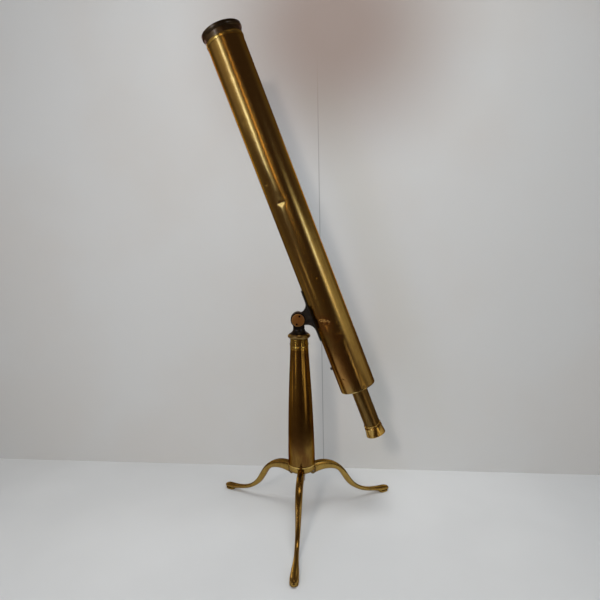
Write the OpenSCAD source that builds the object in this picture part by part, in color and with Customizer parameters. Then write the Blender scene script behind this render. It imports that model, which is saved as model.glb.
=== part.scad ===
// Brass table telescope on a turned pillar with three folding cabriole legs.
// Millimetres, +Z up. The origin is on the floor, under the axis of the pillar.
// The optical axis lies in the XZ plane, with the objective towards -X.
// Telescope parts are drawn in a tube frame: +Z runs along the optical axis from
// the lower rim of the main tube, and -X faces the pillar.

/* [Telescope] */
// Outside diameter of the main tube
tube_od = 76; // [74:0.5:78]
// Wall thickness of the main tube
tube_wall = 1.2; // [1:0.1:1.4]
// Length of the main tube, from its lower rim to the objective cell
tube_len = 749; // [650:1:850]
// Length of the objective cell that shows beyond the tube
cell_len = 25.7; // [24:0.1:28]
// Diameter of the flared lip of the objective cell
lip_d = 82.8; // [81:0.1:85]
// Outside diameter of the draw tube
draw_od = 34.5; // [34:0.1:35]
// Length of draw tube that shows at rest
draw_out = 88; // [84:1:100]
// Length of the eyepiece beyond the end of the draw tube
eyepiece_len = 27; // [26:0.5:30]

/* [Pose at rest] */
// Height of the optical axis above the horizon, in degrees
altitude = 70; // [60:0.1:80]
// Turn of the legs about the pillar, in degrees
leg_turn = -4.8; // [-60:0.1:60]

/* [Stand] */
// Height of the altitude pivot above the floor
pivot_z = 436.5; // [430:0.1:450]
// Distance of the pivot from the pillar's axis, away from the tube
pivot_x = -1.2; // [-2:0.1:0]
// Distance from the altitude pivot to the optical axis
axis_offset = 67.1; // [67:0.1:69]
// Distance of the pivot from the lower rim, measured along the tube
pivot_s = 182.1; // [170:0.1:220]
// Height of the foot of the pillar
pillar_foot_z = 121.8; // [121:0.1:123]
// Radius of the pillar at its foot
pillar_foot_r = 28.9; // [28:0.1:29.5]
// Radius of the pillar at its top
pillar_top_r = 19.7; // [19.6:0.1:20.5]
// Distance from the axis of the pillar to the middle of a foot's pad
foot_r = 215; // [213:0.5:216]

/* [Hidden] */
$fn = 96;
eps = 0.01;
slip = 0.05;                       // radial clearance of a running fit

tube_r = tube_od / 2;
bore_r = tube_r - tube_wall;       // inside radius of the main tube
plug_r = bore_r - 0.05;            // what is fitted inside the main tube
draw_r = draw_od / 2;
draw_wall = 0.9;
lining = 0.5;                      // cloth lining of the draw sleeve
sleeve_r0 = draw_r + slip + lining;
sleeve_r1 = 19.5;
sleeve_len = 75;
tail_screw_s = 7.5;                // screws of the tail plate, from the lower rim
tail_screw_turn = -73.3;           // direction of the empty hole, round the tube
ring_screw_s = 56.6;               // proud screw on the underside
cell_s = tube_len + cell_len;      // face of the objective cell
draw_inner = 138;                  // length of draw tube inside the main tube
eye_s = -draw_out;                 // end of the draw tube
cap_s = eye_s - eyepiece_len;      // face of the eyepiece cap

lens_r = 35;
lens_seat_s = cell_s - 15;         // shoulder that the front lens rests against
lens_stop_r = 33.4;                // radius of its opening

pivot_r = 4.5;                     // pivot bolt
tongue_r = 15.7;                   // knuckle of the cradle
tongue_hw = 4.4;                   // half its thickness
washer_t = 0.8;
cheek_r = 15.7;
cheek_in = tongue_hw + washer_t + slip;
cheek_out = 12.4;
cap_r = 13.4;
cap_t = 3.6;
spanner_r = 8.8;                   // spanner holes of the pivot caps
spanner_turn = 70;                 // direction of the line through them, above +X

spindle_r = 9;                     // swivel spindle under the head
collar_z0 = 380.2;
collar_z1 = 396.4;
head_z = 397;
collar_screw_z = 383.8;
pillar_wall = 2.2;

hub_r = 29.8;
rim_z = 117.2;                     // underside of the hub's rim
lug_half = 7.8;                    // half the width of a leg's pair of lugs
hinge_x = 24;                      // leg hinge pin, from the pillar's axis
hinge_z = 97.6;                    // its height, near the foot of the shoulder
knuckle_r = 5.3;
leg_hw = 4;                        // half the thickness of a leg's tongue
leg_face_x = 30.5;                 // shoulder of a leg, against the hub
pin_r = 2;
pin_half = 7.7;                    // half the length of a hinge pin
pad_r = 8.1;                       // end radius of a foot's pad
pad_half = 3.4;                    // half the distance between its end centres

// ---- helpers ----

// Points of a cubic Bezier curve with n steps, without its first point.
function bezier(a, b, c, d, n) = [for (i = [1:n]) let (t = i / n, u = 1 - t)
  u*u*u*a + 3*u*u*t*b + 3*u*t*t*c + t*t*t*d];

// Points of an arc about c, with n steps.
function arc(c, r, a0, a1, n) = [for (i = [0:n]) let (a = a0 + (a1 - a0) * i / n)
  c + r * [cos(a), sin(a)]];

// Points of a lens surface, from the axis to its edge. The middle is at height z and the
// edge lies sag(radius, r) lower, or higher where the radius of curvature is negative.
function sag(radius, r) = sign(radius) * (abs(radius) - sqrt(radius * radius - r * r));
function lens_face(z, radius, r, n) = [for (i = [0:n]) [r * i / n, z - sag(radius, r * i / n)]];
function reversed(v) = [for (i = [len(v) - 1:-1:0]) v[i]];

// A lens with its front middle at z1 and its back middle at z0.
module lens(z0, z1, front, back, r) {
  rotate_extrude()
    polygon(concat(lens_face(z1, front, r, 6), reversed(lens_face(z0, back, r, 6))));
}

module ring(r0, r1, z0, z1) {
  translate([0, 0, z0]) difference() {
    cylinder(r = r1, h = z1 - z0);
    translate([0, 0, -1]) cylinder(r = r0, h = z1 - z0 + 2);
  }
}

// The pivot's frame: Z along the tube, X away from the pillar, the origin on the pivot.
module pivot_frame() {
  translate([pivot_x, 0, pivot_z]) rotate([0, altitude - 90, 0]) children();
}

// The tube frame.
module tube_frame() {
  pivot_frame() translate([axis_offset, 0, -pivot_s]) children();
}

// A bar along Y through the pivot, from y0 to y1.
module pivot_bar(r, y0, y1) {
  translate([0, y0, 0]) rotate([-90, 0, 0]) cylinder(r = r, h = y1 - y0);
}

// A radial bar about the tube's axis, from r0 to r1 at height s and direction a.
module radial_bar(r, r0, r1, s, a) {
  rotate([0, 0, a]) translate([r0, 0, s]) rotate([0, 90, 0]) cylinder(r = r, h = r1 - r0, $fn = 32);
}

// A screw with a slotted cheese head, pointing at the axis from direction a.
module radial_screw(r, r0, r1, head_r, head_h, s, a) {
  difference() {
    union() {
      radial_bar(r, r0, r1 + eps, s, a);
      radial_bar(head_r, r1, r1 + head_h, s, a);
    }
    rotate([0, 0, a]) translate([r1 + head_h * 0.5, -head_r - 1, s - 0.35])
      cube([head_h, 2 * head_r + 2, 0.7]);
  }
}

// ---- hub and legs ----

module at_leg(i) {
  rotate([0, 0, leg_turn - 90 + 120 * i]) children();
}

// Side view of a hinge lug: round about the pin, with a root that runs up to the rim.
module lug_side() {
  lug_r = knuckle_r + 0.5;
  root_x = 12;
  root_z = 101;
  translate([hinge_x, hinge_z]) circle(r = lug_r);
  polygon([[root_x, rim_z], [root_x, root_z], [hinge_x - 0.7 * lug_r, hinge_z - 0.7 * lug_r],
    [hinge_x + lug_r, hinge_z], [hinge_x + lug_r, rim_z]]);
}

// A rimmed dish with three pairs of lugs under it, which hold the legs.
module hub() {
  rim_edge = 0.8;
  body_r = hub_r - 1.2;
  boss_r = 11;
  boss_z = 98;
  bolt_r = 5;
  slot_hw = leg_hw + 0.2;
  slot_gap = 0.3;
  slot_z0 = 90;
  slot_depth = 20;
  color("darkgoldenrod") difference() {
    union() {
      rotate_extrude() polygon([
        [bolt_r, boss_z], [boss_r, boss_z], [boss_r + 2, 100], [22, 103.5], [27, 106], [body_r, 110],
        [body_r, rim_z - rim_edge], [hub_r - rim_edge, rim_z], [hub_r, rim_z + rim_edge],
        [hub_r, pillar_foot_z - 1.2], [hub_r - rim_edge, pillar_foot_z], [bolt_r, pillar_foot_z]]);
      for (i = [0:2]) at_leg(i) translate([0, lug_half, 0]) rotate([90, 0, 0])
        linear_extrude(2 * lug_half) lug_side();
    }
    for (i = [0:2]) at_leg(i) {
      translate([hinge_x - knuckle_r - slot_gap, -slot_hw, slot_z0])
        cube([slot_depth, 2 * slot_hw, hinge_z + knuckle_r + slot_gap - slot_z0]);
      translate([hinge_x, -lug_half - 1, hinge_z]) rotate([-90, 0, 0])
        cylinder(r = pin_r, h = 2 * lug_half + 2, $fn = 48);
    }
  }
}

module leg_hinge_pins() {
  color("saddlebrown") for (i = [0:2]) at_leg(i)
    translate([hinge_x, -pin_half, hinge_z]) rotate([-90, 0, 0])
      cylinder(r = pin_r, h = 2 * pin_half, $fn = 48);
}

// Side view of a leg: radius and height.
module leg_side() {
  polygon(concat(
    [[leg_face_x, 116]],
    bezier([leg_face_x, 116], [52, 118], [72, 112], [90, 98.5], 8),
    bezier([90, 98.5], [112, 82], [118, 59], [135, 42], 8),
    bezier([135, 42], [152, 25], [172, 18.5], [198, 15.6], 7),
    bezier([198, 15.6], [212, 14.2], [230.5, 15.5], [230.5, 4.5], 7),
    [[228.5, 2.5], [204, 2.5]],
    bezier([204, 2.5], [198, 5.5], [192, 7.4], [182, 9.4], 4),
    bezier([182, 9.4], [162, 13.4], [144.5, 20.8], [126.5, 34.8], 7),
    bezier([126.5, 34.8], [105, 50.5], [101, 77], [82.5, 87.6], 8),
    bezier([82.5, 87.6], [67, 95.6], [46, 95.6], [leg_face_x, 91], 7)));
}

// Plan view of a leg: radius and half-width.
module leg_plan() {
  edge = concat(
    [[leg_face_x, 7.8]],
    bezier([leg_face_x, 7.8], [75, 8], [95, 7.8], [112, 6.2], 6),
    bezier([112, 6.2], [128, 4.6], [150, 4.3], [168, 4.6], 5),
    bezier([168, 4.6], [184, 5.1], [196, 8.1], [213, 8.3], 6),
    bezier([213, 8.3], [224, 8.5], [230.6, 6], [230.6, 0], 7));
  union() {
    polygon(concat([[leg_face_x, 0]], edge));
    mirror([0, 1]) polygon(concat([[leg_face_x, 0]], edge));
  }
}

// Oval pad under a foot.
module foot_pad() {
  pad_h = 4;
  linear_extrude(pad_h) {
    for (side = [-1, 1]) translate([foot_r + side * pad_half, 0]) circle(r = pad_r);
    translate([foot_r - pad_half, -pad_r]) square([2 * pad_half, 2 * pad_r]);
  }
}

module leg() {
  difference() {
    union() {
      intersection() {
        translate([0, 20, 0]) rotate([90, 0, 0]) linear_extrude(40) leg_side();
        linear_extrude(130) leg_plan();
      }
      translate([hinge_x, -leg_hw, 0]) {
        translate([0, 0, hinge_z]) rotate([-90, 0, 0]) cylinder(r = knuckle_r, h = 2 * leg_hw);
        translate([0, 0, hinge_z - knuckle_r])
          cube([leg_face_x - hinge_x + 3, 2 * leg_hw, 2 * knuckle_r]);
      }
      foot_pad();
    }
    translate([hinge_x, -20, hinge_z]) rotate([-90, 0, 0])
      cylinder(r = pin_r + slip, h = 40, $fn = 48);
  }
}

module leg_front() { color("darkkhaki") at_leg(0) leg(); }
module leg_right() { color("darkkhaki") at_leg(1) leg(); }
module leg_left() { color("darkkhaki") at_leg(2) leg(); }

// Turned drop whose stud ties the hub to the pillar.
module finial_bolt() {
  color("saddlebrown") rotate_extrude() polygon(concat(
    [[0, 62.5]],
    bezier([0, 62.5], [2.2, 66], [3.2, 74], [4.2, 80], 4),
    bezier([4.2, 80], [5.2, 87], [7.6, 89], [7.6, 94], 5),
    [[7.6, 98], [5, 98], [5, 133], [0, 133]]));
}

// ---- pillar ----

// Outer radius of the pillar at height z: a straight taper with a slight swell.
pillar_band_z = 368.4;
pillar_swell = 1.2;
taper_z0 = 150;
function taper(z) = min(1, max(0, (z - taper_z0) / (pillar_band_z - taper_z0)));
function pillar_r(z) = pillar_foot_r + (pillar_top_r - pillar_foot_r) * taper(z)
  + pillar_swell * sin(180 * taper(z));

module pillar() {
  heights = [for (i = [0:9]) taper_z0 + (pillar_band_z - taper_z0) * i / 9];
  color("darkgoldenrod") rotate_extrude() polygon(concat(
    [[pillar_foot_r, pillar_foot_z]],
    [for (z = heights) [pillar_r(z), z]],
    [[pillar_top_r, collar_z0], [pillar_top_r - pillar_wall, collar_z0]],
    reversed([for (z = heights) [pillar_r(z) - pillar_wall, z]]),
    [[pillar_foot_r - pillar_wall, pillar_foot_z]]));
}

module pillar_plug() {
  color("peru") ring(5, pillar_foot_r - pillar_wall, pillar_foot_z, pillar_foot_z + 14);
}

// Bearing sleeve of the swivel, with the collar that shows above the pillar.
module collar() {
  inner = pillar_top_r - pillar_wall;
  color("goldenrod") difference() {
    rotate_extrude() polygon([
      [spindle_r + slip, 340], [inner - 3, 340], [inner, 343],
      [inner, collar_z0], [pillar_top_r - 0.5, collar_z0], [pillar_top_r - 0.1, collar_z0 + 0.6],
      [18.9, collar_z1 - 4], [18.6, collar_z1], [spindle_r + slip, collar_z1]]);
    for (a = [0, 180]) radial_bar(1.5, spindle_r - 1, 25, collar_screw_z, a);
  }
}

module collar_screws() {
  color("dimgray") for (a = [0, 180])
    radial_screw(1.5, spindle_r - 1.3, 19.4, 2, 1, collar_screw_z, a);
}

// ---- head ----

module head_fork() {
  slot_r = tongue_r + 0.6;
  color("darkslategray") difference() {
    union() {
      rotate_extrude() polygon(concat(
        [[0, 350], [spindle_r - 1, 350], [spindle_r, 351], [spindle_r, collar_screw_z - 1.6],
         [spindle_r - 1.5, collar_screw_z - 1.6], [spindle_r - 1.5, collar_screw_z + 1.6],
         [spindle_r, collar_screw_z + 1.6], [spindle_r, head_z], [19, head_z]],
        arc([19.4, head_z + 4.6], 4.6, -90, 55, 8),
        bezier([21.6, 405.6], [17, 408.5], [12.6, 411], [12.1, 416.5], 6),
        [[12.1, pivot_z - 13], [0, pivot_z - 13]]));
      intersection() {
        union() {
          translate([pivot_x, 0, pivot_z]) pivot_bar(cheek_r, -cheek_out, cheek_out);
          translate([-12, -cheek_out, 416]) cube([24, 2 * cheek_out, pivot_z - 416]);
        }
        rotate_extrude() polygon([[0, 416], [12.1, 416], [24, 430], [24, 470], [0, 470]]);
      }
    }
    translate([pivot_x, 0, pivot_z]) {
      pivot_bar(slot_r, -cheek_in, cheek_in);
      pivot_bar(pivot_r, -20, 20);
      translate([-20, -cheek_in, 0]) cube([40, 2 * cheek_in, 20]);
      translate([0, -cheek_in, -slot_r]) cube([20, 2 * cheek_in, slot_r + 1]);
    }
  }
}

module swivel_washer() {
  color("black") ring(spindle_r + eps, 18, collar_z1 + slip, head_z);
}

module pivot_bolt() {
  color("gray") pivot_frame() pivot_bar(pivot_r, -cheek_out - 2.2, cheek_out + 2.2);
}

// A turned disc with two blind spanner holes, on the outside of the +Y cheek.
module pivot_disc() {
  translate([pivot_x, cheek_out, pivot_z]) difference() {
    rotate([-90, 0, 0]) rotate_extrude() polygon(concat(
      [[0, 2.2], [pivot_r, 2.2], [pivot_r, 0], [cap_r, 0]],
      arc([cap_r - 1, cap_t - 1], 1, 0, 90, 4),
      [[0, cap_t]]));
    for (k = [0, 180]) rotate([0, k - spanner_turn, 0])
      translate([spanner_r, cap_t - 2, 0]) rotate([-90, 0, 0]) cylinder(r = 1.3, h = 3, $fn = 32);
  }
}

module pivot_cap() {
  color("chocolate") mirror([0, 1, 0]) pivot_disc();
}

module pivot_nut() {
  color("chocolate") pivot_disc();
}

// ---- cradle ----

// Side view of the knuckle and its web: distance from the pillar side and along the tube.
module cradle_web() {
  top_r = 16.4;
  low_r = 20;
  top_x = axis_offset - saddle_r - 0.2;
  top_c = [top_x - top_r, 28];
  low_c = [top_x - low_r, -35.9];
  difference() {
    union() {
      circle(r = tongue_r);
      polygon([[0, 0], [top_c[0], top_c[1]], [top_x, top_c[1]], [axis_offset - tube_r, top_c[1]],
        [axis_offset - tube_r, low_c[1]], [top_x, low_c[1]], [low_c[0], low_c[1]]]);
    }
    translate(top_c) circle(r = top_r);
    translate(low_c) circle(r = low_r);
    circle(r = pivot_r + slip);
  }
}

saddle_top = 53.5;
saddle_low = -59.5;
saddle_half = 14;
saddle_r = 40.5;
cradle_screw_turn = 7;

module cradle() {
  color("darkslategray") pivot_frame() difference() {
    union() {
      translate([0, tongue_hw, 0]) rotate([90, 0, 0]) linear_extrude(2 * tongue_hw) cradle_web();
      translate([axis_offset, 0, saddle_low]) linear_extrude(saddle_top - saddle_low) intersection() {
        circle(r = saddle_r);
        polygon([[0, 0], [-50, 50 * tan(saddle_half)], [-50, -50 * tan(saddle_half)]]);
      }
    }
    translate([axis_offset, 0, -100]) cylinder(r = tube_r, h = 200);
    translate([axis_offset, 0, 0]) for (s = [saddle_top - 9, saddle_low + 9])
      for (a = [-1, 1]) radial_bar(1.5, 30, 45, s, 180 + a * cradle_screw_turn);
  }
}

module friction_washers() {
  color("black") pivot_frame() for (side = [0, 180]) rotate([0, 0, side]) difference() {
    pivot_bar(cheek_r, tongue_hw, tongue_hw + washer_t);
    pivot_bar(pivot_r + slip, 0, 10);
  }
}

module cradle_screws() {
  color("dimgray") pivot_frame() translate([axis_offset, 0, 0])
    for (s = [saddle_top - 9, saddle_low + 9]) for (a = [-1, 1])
      radial_bar(1.5, 34, saddle_r + 0.3, s, 180 + a * cradle_screw_turn);
}

// ---- main tube and objective ----

module main_tube() {
  color("olive") tube_frame() difference() {
    ring(bore_r, tube_r, 0, tube_len);
    for (k = [0:2]) radial_bar(1.5, 30, 45, tail_screw_s, tail_screw_turn + 120 * k);
    radial_bar(1.7, 30, 45, ring_screw_s, 180);
    for (s = [pivot_s + saddle_top - 9, pivot_s + saddle_low + 9])
      for (a = [-1, 1]) radial_bar(1.5, 30, 45, s, 180 + a * cradle_screw_turn);
  }
}

module objective_cell() {
  lip_r = lip_d / 2;
  color("sienna") tube_frame() rotate_extrude() polygon(concat(
    [[lens_r + 0.1, tube_len - 19], [plug_r, tube_len - 19], [plug_r, tube_len],
     [tube_r - 0.5, tube_len], [tube_r - 0.5, tube_len + 0.7], [tube_r + 0.7, tube_len + 0.9]],
    arc([tube_r + 0.3, tube_len + 4.3], 0.7, 0, 60, 2),
    [[tube_r + 0.4, tube_len + 6.8], [tube_r + 0.3, cell_s - 9]],
    bezier([tube_r + 0.3, cell_s - 9], [tube_r + 0.4, cell_s - 7.4], [lip_r, cell_s - 8],
      [lip_r, cell_s - 5.6], 4),
    [[lip_r, cell_s - 1.2]],
    arc([lip_r - 1.2, cell_s - 1.2], 1.2, 0, 90, 4),
    [[lip_r - 3.2, cell_s], [37.4, cell_s - 2.2], [35.6, lens_seat_s + 3], [lens_stop_r, lens_seat_s + 2.2],
     [lens_stop_r, lens_seat_s], [lens_r + 0.1, lens_seat_s]]));
}

crown_front = 420;
crown_back = -400;
flint_back = 2200;
crown_z1 = lens_seat_s + sag(crown_front, lens_stop_r);
crown_z0 = crown_z1 - 8;
flint_z1 = crown_z0 - 0.15;
flint_z0 = flint_z1 - 4;

module crown_lens() {
  color("lightcyan") tube_frame() lens(crown_z0, crown_z1, crown_front, crown_back, lens_r);
}

module flint_lens() {
  color("lightblue") tube_frame() lens(flint_z0, flint_z1, crown_back, flint_back, lens_r);
}

module lens_ring() {
  top = flint_z0 - sag(flint_back, lens_r);
  color("black") tube_frame() ring(32.6, lens_r + 0.1, top - 4, top);
}

// A blackened stop with a hole of radius r, in a short flange that grips the tube.
module baffle(s, r) {
  tube_frame() {
    difference() {
      translate([0, 0, s]) cylinder(r = plug_r, h = 9);
      translate([0, 0, s + 1]) cylinder(r = plug_r - 0.8, h = 10);
      translate([0, 0, s - 1]) cylinder(r = r, h = 4);
    }
  }
}

module front_baffle() { color("black") baffle(520, 28); }
module rear_baffle() { color("black") baffle(300, 20); }

// ---- tail of the main tube ----

module tail_plate() {
  color("darkgoldenrod") tube_frame() difference() {
    translate([0, 0, 1.5]) cylinder(r = plug_r, h = 11);
    translate([0, 0, 4.5]) ring(sleeve_r1 + 3, plug_r - 3, 0, 12);
    cylinder(r = sleeve_r1, h = 20);
    for (k = [0:2]) radial_bar(1.5, plug_r - 4, 45, tail_screw_s, tail_screw_turn + 120 * k);
  }
}

// Two flush screws. The third hole of the ring is empty.
module tail_screws() {
  color("goldenrod") tube_frame() for (k = [1, 2])
    radial_bar(1.5, plug_r - 3, tube_r, tail_screw_s, tail_screw_turn + 120 * k);
}

module draw_sleeve() { color("peru") tube_frame() ring(sleeve_r0, sleeve_r1, 1.5, sleeve_len); }
module sleeve_lining() { color("maroon") tube_frame() ring(draw_r + slip, sleeve_r0, 1.5, sleeve_len); }

module sleeve_ring() {
  color("peru") tube_frame() difference() {
    ring(sleeve_r1, plug_r, ring_screw_s - 5, ring_screw_s + 5);
    radial_bar(1.7, plug_r - 8, 45, ring_screw_s, 180);
  }
}

module sleeve_ring_screw() {
  color("black") tube_frame() radial_screw(1.7, plug_r - 7, tube_r, 2.9, 3.4, ring_screw_s, 180);
}

// ---- draw tube and eyepiece ----

module draw_tube() {
  color("darkgoldenrod") tube_frame() ring(draw_r - draw_wall, draw_r, eye_s, draw_inner);
}

module draw_stop_ring() {
  color("goldenrod") tube_frame() ring(draw_r, draw_r + 1.4, draw_inner - 8, draw_inner);
}

draw_bore = draw_r - draw_wall;
erector_z0 = 10;
erector_z1 = 110;

module erector_tube() {
  color("black") tube_frame() difference() {
    translate([0, 0, erector_z0]) cylinder(r = draw_bore, h = erector_z1 - erector_z0);
    translate([0, 0, erector_z0 - 1]) cylinder(r = 13.6, h = 200);
    for (z = [erector_z0 - 1, erector_z1 - 7]) translate([0, 0, z]) cylinder(r = 15, h = 8);
  }
}

module erector_front_lens() {
  color("lightcyan") tube_frame() lens(erector_z1 - 7, erector_z1 - 2, 60, -60, 15);
}
module erector_rear_lens() {
  color("lightcyan") tube_frame() lens(erector_z0 + 2, erector_z0 + 7, 60, -60, 15);
}
module erector_stop() {
  color("black") tube_frame() ring(3, 13.6, 55, 56.5);
}

// Eyepiece mount: it screws into the draw tube, and shows as a bead and a groove.
module eyepiece_body() {
  color("goldenrod") tube_frame() rotate_extrude() polygon(concat(
    [[12.2, eye_s + 18], [draw_bore, eye_s + 18], [draw_bore, eye_s], [draw_r, eye_s]],
    arc([draw_r - 0.1, eye_s - 1.6], 1.6, 70, -70, 6),
    [[17, eye_s - 3.4], [17, eye_s - 5.6], [14.2, eye_s - 5.6], [14.2, eye_s - 17],
     [10, eye_s - 17], [10, eye_s - 15], [12.2, eye_s - 12]]));
}

module field_lens() {
  color("lightcyan") tube_frame() {
    lens(eye_s + 8, eye_s + 13, 45, 900, 12.2);
  }
}

module eye_lens() { color("lightcyan") tube_frame() lens(eye_s - 20.4, eye_s - 17, 30, 900, 9); }
module eye_lens_ring() { color("black") tube_frame() ring(7, 9, cap_s + 4, eye_s - 20.6); }

module eye_cap() {
  color("gold") tube_frame() rotate_extrude() polygon(concat(
    [[14.2, eye_s - 5.7], [18.6, eye_s - 5.7], [19.2, eye_s - 7]],
    bezier([19.2, eye_s - 7], [19.4, eye_s - 14], [20.2, eye_s - 19], [21, eye_s - 23.5], 5),
    arc([20, cap_s + 2.2], 1.2, 10, -80, 4),
    [[16, cap_s + 1], [14.6, cap_s], [12, cap_s + 1], [7, cap_s + 2.8], [5.2, cap_s + 2.8],
     [5.2, cap_s + 4], [9, cap_s + 4], [9, eye_s - 17], [14.2, eye_s - 17]]));
}

hub();
finial_bolt();
leg_hinge_pins();
pillar();
pillar_plug();
collar();
collar_screws();
leg_front();
leg_left();
leg_right();
head_fork();
swivel_washer();
pivot_bolt();
pivot_cap();
pivot_nut();
cradle();
friction_washers();
cradle_screws();
main_tube();
objective_cell();
crown_lens();
flint_lens();
lens_ring();
front_baffle();
rear_baffle();
tail_plate();
tail_screws();
draw_sleeve();
sleeve_lining();
sleeve_ring();
sleeve_ring_screw();
draw_tube();
draw_stop_ring();
erector_tube();
erector_front_lens();
erector_rear_lens();
erector_stop();
eyepiece_body();
field_lens();
eye_lens();
eye_lens_ring();
eye_cap();
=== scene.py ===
"""Looks of a brass table telescope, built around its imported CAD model. Metres, in the CAD frame."""
import math

import bpy
import numpy as np
from mathutils import Matrix, Vector, noise


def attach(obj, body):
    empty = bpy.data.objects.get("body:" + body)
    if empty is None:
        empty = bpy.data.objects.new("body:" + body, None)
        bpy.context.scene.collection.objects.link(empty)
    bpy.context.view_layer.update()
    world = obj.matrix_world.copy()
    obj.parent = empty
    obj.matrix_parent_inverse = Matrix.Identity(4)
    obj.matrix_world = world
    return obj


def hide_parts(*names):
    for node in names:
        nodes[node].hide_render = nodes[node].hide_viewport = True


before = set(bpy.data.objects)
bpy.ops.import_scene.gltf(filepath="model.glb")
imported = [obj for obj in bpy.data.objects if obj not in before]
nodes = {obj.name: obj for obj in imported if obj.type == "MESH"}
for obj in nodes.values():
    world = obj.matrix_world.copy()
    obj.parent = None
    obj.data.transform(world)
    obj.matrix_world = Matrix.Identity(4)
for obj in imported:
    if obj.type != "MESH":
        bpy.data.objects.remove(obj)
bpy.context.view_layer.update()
MM = 0.001

# ---- dimensions shared with the CAD model, in millimetres ----

TUBE_R = 38.0
BORE_R = 36.8
TUBE_LEN = 749.0
PILLAR_FOOT_Z = 121.8
COLLAR_Z0 = 380.2
ALTITUDE = 70.0
PIVOT = Vector((-1.2, 0, 436.5))
# the two spanner holes of a pivot cap: distance from its middle and direction
CAP_HOLE_R = 8.8
CAP_HOLE_TURN = 70
AXIS_OFFSET = 67.1
PIVOT_S = 182.1
LEG_TURN = -4.8
# the pin that a leg turns on, and the round end of the leg's tongue about it
PIN_R, PIN_Z = 24.0, 97.6
TONGUE_R = 5.3
TONGUE_HALF = 4.0
TONGUE_OUT = 33.5
# the oval pad under a foot: middle, half of its straight part, radius of its ends
PAD_AT = 215.0
PAD_HALF = 3.4
PAD_R = 8.1

TILT = Matrix.Rotation(math.radians(ALTITUDE - 90), 4, "Y")
PIVOT_FRAME = Matrix.Translation(PIVOT) @ TILT
TUBE_FRAME = PIVOT_FRAME @ Matrix.Translation((AXIS_OFFSET, 0, -PIVOT_S))
STAND_FRAME = Matrix.Identity(4)
# height of the tube's lower rim once the tube is turned upright about the world's origin, in metres
RIM_UPRIGHT = (TUBE_FRAME.translation @ TILT.to_3x3().col[2]) * MM


# ---- mesh helpers ----

def make(name, verts, faces, body, replaced=(), place=STAND_FRAME, material=None, sharp=40):
    """A mesh piece from points in millimetres in a local frame."""
    mesh = bpy.data.meshes.new(name)
    points = [tuple((place @ Vector(v)) * MM) for v in verts]
    mesh.from_pydata(points, [], faces)
    mesh.validate()
    mesh.update()
    mesh.shade_smooth()
    obj = bpy.data.objects.new(name, mesh)
    bpy.context.scene.collection.objects.link(obj)
    mesh.set_sharp_from_angle(angle=math.radians(sharp))
    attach(obj, body)
    if replaced:
        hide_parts(*replaced)
    if material:
        mesh.materials.append(material)
    return obj


def lathe(profile, count, closed=True):
    """Points and faces of a turned shape. The profile is (radius, height) in mm."""
    verts, faces, rings = [], [], []
    for r, z in profile:
        if r < 1e-6:
            rings.append([len(verts)] * count)
            verts.append((0, 0, z))
        else:
            start = len(verts)
            rings.append(list(range(start, start + count)))
            for i in range(count):
                a = 2 * math.pi * i / count
                verts.append((r * math.cos(a), r * math.sin(a), z))
    pairs = list(zip(rings, rings[1:]))
    if closed:
        pairs.append((rings[-1], rings[0]))
    for low, high in pairs:
        for i in range(count):
            j = (i + 1) % count
            quad = [low[i], low[j], high[j], high[i]]
            face = [v for k, v in enumerate(quad) if v not in quad[:k]]
            if len(face) > 2:
                faces.append(face)
    return verts, faces


def bezier(a, b, c, d, n):
    out = []
    for i in range(1, n + 1):
        t = i / n
        u = 1 - t
        out.append(tuple(u ** 3 * p + 3 * u * u * t * q + 3 * u * t * t * r + t ** 3 * s
                         for p, q, r, s in zip(a, b, c, d)))
    return out


def smooth(x, lo, hi):
    t = min(1.0, max(0.0, (x - lo) / (hi - lo)))
    return t * t * (3 - 2 * t)


# ---- materials ----

class Graph:
    """A small writer for shader node trees."""

    def __init__(self, name):
        self.material = bpy.data.materials.new(name)
        self.material.use_nodes = True
        self.tree = self.material.node_tree
        self.shader = self.tree.nodes["Principled BSDF"]

    def add(self, kind, inputs=None, **settings):
        n = self.tree.nodes.new(kind)
        for key, value in settings.items():
            setattr(n, key, value)
        for key, value in (inputs or {}).items():
            self.put(n.inputs[key], value)
        return n

    def put(self, socket, value):
        if isinstance(value, bpy.types.NodeSocket):
            self.tree.links.new(value, socket)
        elif isinstance(value, bpy.types.Node):
            self.tree.links.new(value.outputs[0], socket)
        else:
            socket.default_value = value

    def math(self, op, a, b=0.0, c=0.0):
        n = self.add("ShaderNodeMath", {0: a, 1: b, 2: c}, operation=op)
        return n.outputs[0]

    def ramp(self, value, lo, hi, out_lo=0.0, out_hi=1.0):
        n = self.add("ShaderNodeMapRange", {"Value": value, "From Min": lo, "From Max": hi,
                                            "To Min": out_lo, "To Max": out_hi})
        n.interpolation_type = "SMOOTHSTEP"
        n.clamp = True
        return n.outputs[0]

    def mix(self, factor, a, b):
        n = self.add("ShaderNodeMix", {"Factor": factor}, data_type="RGBA")
        self.put(n.inputs[6], a)
        self.put(n.inputs[7], b)
        return n.outputs[2]

    def mix_value(self, factor, a, b):
        n = self.add("ShaderNodeMix", {"Factor": factor}, data_type="FLOAT")
        self.put(n.inputs[2], a)
        self.put(n.inputs[3], b)
        return n.outputs[0]

    def coords(self, rotation=(0, 0, 0), scale=(1, 1, 1)):
        tc = self.add("ShaderNodeTexCoord")
        m = self.add("ShaderNodeMapping", {"Vector": tc.outputs["Object"], "Rotation": rotation,
                                           "Scale": scale})
        return m.outputs[0]

    def noise(self, vector, scale, detail=4.0, rough=0.55, distortion=0.0):
        n = self.add("ShaderNodeTexNoise", {"Vector": vector, "Scale": scale, "Detail": detail,
                                            "Roughness": rough, "Distortion": distortion})
        return n.outputs[0]

    def bump(self, height, distance, strength):
        n = self.add("ShaderNodeBump", {"Height": height, "Distance": distance, "Strength": strength})
        return n.outputs[0]


def rgb(r, g, b):
    return (r, g, b, 1.0)


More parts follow.
